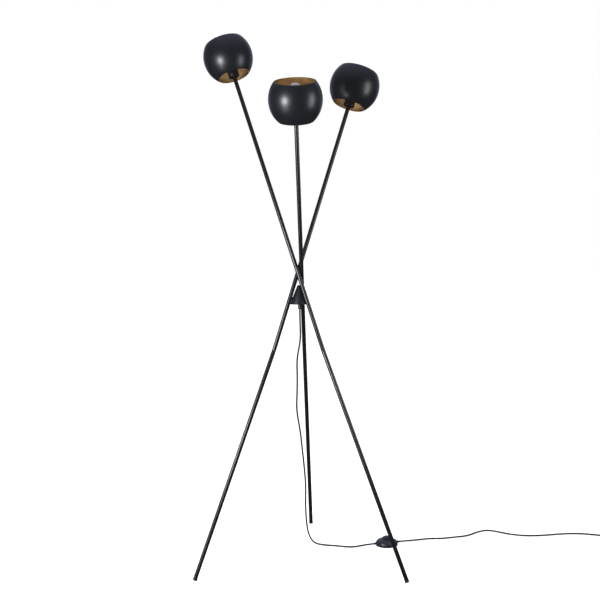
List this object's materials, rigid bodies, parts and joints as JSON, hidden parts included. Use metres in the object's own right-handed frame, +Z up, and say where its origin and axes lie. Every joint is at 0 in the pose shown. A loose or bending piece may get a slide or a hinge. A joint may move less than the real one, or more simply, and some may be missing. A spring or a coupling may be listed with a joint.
{
  "type": "tripod floor lamp",
  "caption": "Tripod floor lamp: slender poles lean past each other at a waist, each ending in an open round shade; a hub cone joins them and the lead has a foot switch.",
  "frame": {"origin": "on the floor, at the bottom centre of the lamp's box, measured without its lead, foot switch and plug", "axes": "+Z up, the front shade's pole leans towards -Y, +X to the right of someone who faces the front shade from outside"},
  "size_m": [1.3869, 0.5934, 1.5542],
  "materials": {
    "black_paint": "satin black powder coat",
    "gold_paint": "brushed gold inside finish",
    "zinc": "zinc plated steel",
    "foot_rubber": "matte rubber",
    "flex_sheath": "soft sheath",
    "black_plastic": "moulded",
    "switch_plastic": "satin moulded",
    "white_plastic": "moulded",
    "bulb_metal": "nickel plated",
    "clear_glass": "clear",
    "cord_sheath": "smooth soft sheath",
    "plug_plastic": "moulded",
    "pin_metal": "nickel plated"
  },
  "bodies": {
    "lamp": {"bulb_cap_front": "bulb_metal", "bulb_cap_left": "bulb_metal", "bulb_cap_right": "bulb_metal", "bulb_glass_front": "clear_glass", "bulb_glass_left": "clear_glass", "bulb_glass_right": "clear_glass", "cord_coil": "cord_sheath", "foot_cap_front": "foot_rubber", "foot_cap_left": "foot_rubber", "foot_cap_right": "foot_rubber", "gland": "black_plastic", "gland_nut": "black_plastic", "holder_cup_front": "black_paint", "holder_cup_left": "black_paint", "holder_cup_right": "black_paint", "hub_cone": "black_paint", "hub_plate": "black_paint", "hub_screws": "zinc", "joint_insert_front": "zinc", "joint_insert_left": "zinc", "joint_insert_right": "zinc", "joint_stud_front": "zinc", "joint_stud_left": "zinc", "joint_stud_right": "zinc", "lampholder_front": "black_plastic", "lampholder_left": "black_plastic", "lampholder_right": "black_plastic", "lead": "cord_sheath", "mains_lead": "cord_sheath", "nipple_front": "black_paint", "nipple_left": "black_paint", "nipple_nuts": "zinc", "nipple_right": "black_paint", "plug_body": "plug_plastic", "plug_pins": "pin_metal", "pole_flex_front": "flex_sheath", "pole_flex_left": "flex_sheath", "pole_flex_right": "flex_sheath", "pole_lower_front": "black_paint", "pole_lower_left": "black_paint", "pole_lower_right": "black_paint", "pole_upper_front": "black_paint", "pole_upper_left": "black_paint", "pole_upper_right": "black_paint", "shade_front": "black_paint", "shade_left": "black_paint", "shade_right": "black_paint", "shade_ring_front": "black_plastic", "shade_ring_left": "black_plastic", "shade_ring_right": "black_plastic", "shade_spider_front": "gold_paint", "shade_spider_left": "gold_paint", "shade_spider_right": "gold_paint", "switch_base": "switch_plastic", "switch_contacts": "white_plastic", "switch_cover": "switch_plastic", "switch_screws": "zinc", "switch_spring": "zinc", "terminal_block": "white_plastic"},
    "button": {"switch_button": "switch_plastic"}
  },
  "joints": [
    {"name": "switch_press", "type": "slide", "parent": "lamp", "child": "button", "axis": [0, 0, -1], "range_m": [0, 0.003], "stiffness_N_per_m": 500, "springref_m": -0.002, "deforming": ["switch_spring"]}
  ]
}
